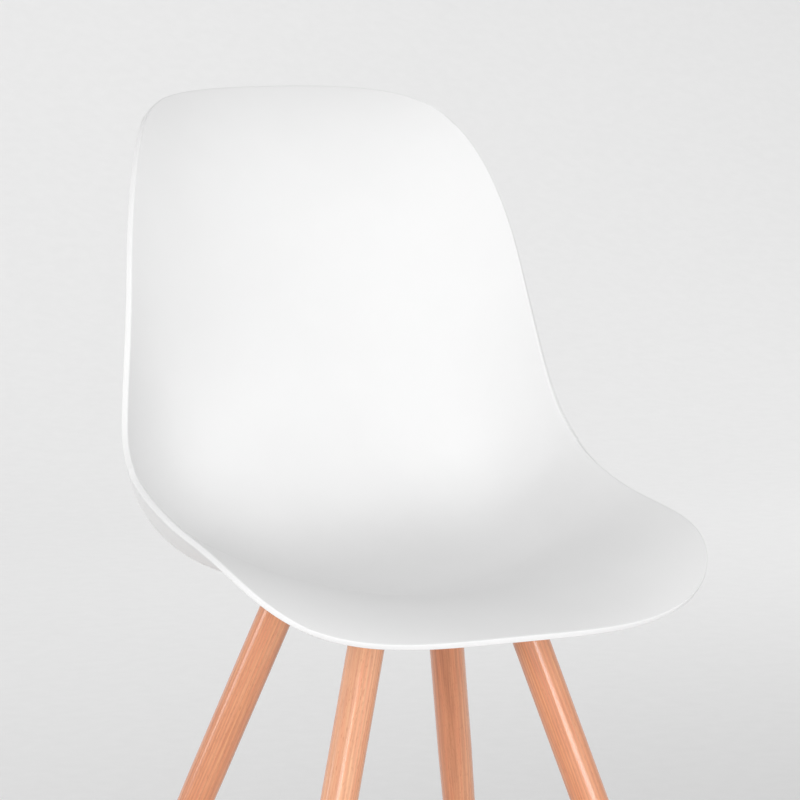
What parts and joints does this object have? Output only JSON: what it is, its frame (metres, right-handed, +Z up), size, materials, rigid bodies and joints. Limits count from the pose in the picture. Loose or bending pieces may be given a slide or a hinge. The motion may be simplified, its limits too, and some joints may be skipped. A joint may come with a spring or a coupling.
{
  "type": "dining chair",
  "caption": "Dining chair: a one-piece moulded shell seat and back on a hidden steel frame with splayed round wooden legs.",
  "frame": {"origin": "on the floor, under the middle of the chair's bounding box", "axes": "+Z up, the sitter faces -Y, +X across the chair; left and right are as seen from the front, so left is -X"},
  "size_m": [0.4334, 0.4716, 0.8581],
  "materials": {
    "shell_plastic": "injection-moulded white polypropylene, fine satin surface",
    "leg_wood": "turned solid beech with a clear satin lacquer",
    "frame_coat": "black powder coat on welded steel flat bar",
    "zinc_steel": "zinc-plated steel",
    "black_steel": "black oxide steel, lightly oiled",
    "glide_nylon": "moulded black nylon",
    "spacer_rubber": "moulded black rubber",
    "insert_brass": "plain knurled brass"
  },
  "bodies": {
    "root": {"seat_shell": "shell_plastic", "frame_bar_front": "frame_coat", "frame_bar_rear": "frame_coat", "frame_rail_left": "frame_coat", "frame_rail_right": "frame_coat", "leg_front_left": "leg_wood", "leg_front_right": "leg_wood", "leg_rear_left": "leg_wood", "leg_rear_right": "leg_wood", "glide_front_left": "glide_nylon", "glide_front_right": "glide_nylon", "glide_rear_left": "glide_nylon", "glide_rear_right": "glide_nylon", "glide_nail_front_left": "zinc_steel", "glide_nail_front_right": "zinc_steel", "glide_nail_rear_left": "zinc_steel", "glide_nail_rear_right": "zinc_steel", "leg_insert_front_left": "zinc_steel", "leg_insert_front_right": "zinc_steel", "leg_insert_rear_left": "zinc_steel", "leg_insert_rear_right": "zinc_steel", "leg_washer_front_left": "zinc_steel", "leg_washer_front_right": "zinc_steel", "leg_washer_rear_left": "zinc_steel", "leg_washer_rear_right": "zinc_steel", "leg_spring_front_left": "black_steel", "leg_spring_front_right": "black_steel", "leg_spring_rear_left": "black_steel", "leg_spring_rear_right": "black_steel", "leg_bolt_front_left": "zinc_steel", "leg_bolt_front_right": "zinc_steel", "leg_bolt_rear_left": "zinc_steel", "leg_bolt_rear_right": "zinc_steel", "shell_spacer_front_left": "spacer_rubber", "shell_spacer_front_right": "spacer_rubber", "shell_spacer_rear_left": "spacer_rubber", "shell_spacer_rear_right": "spacer_rubber", "boss_insert_front_left": "insert_brass", "boss_insert_front_right": "insert_brass", "boss_insert_rear_left": "insert_brass", "boss_insert_rear_right": "insert_brass", "shell_washer_front_left": "zinc_steel", "shell_washer_front_right": "zinc_steel", "shell_washer_rear_left": "zinc_steel", "shell_washer_rear_right": "zinc_steel", "shell_screw_front_left": "black_steel", "shell_screw_front_right": "black_steel", "shell_screw_rear_left": "black_steel", "shell_screw_rear_right": "black_steel"}
  },
  "joints": []
}
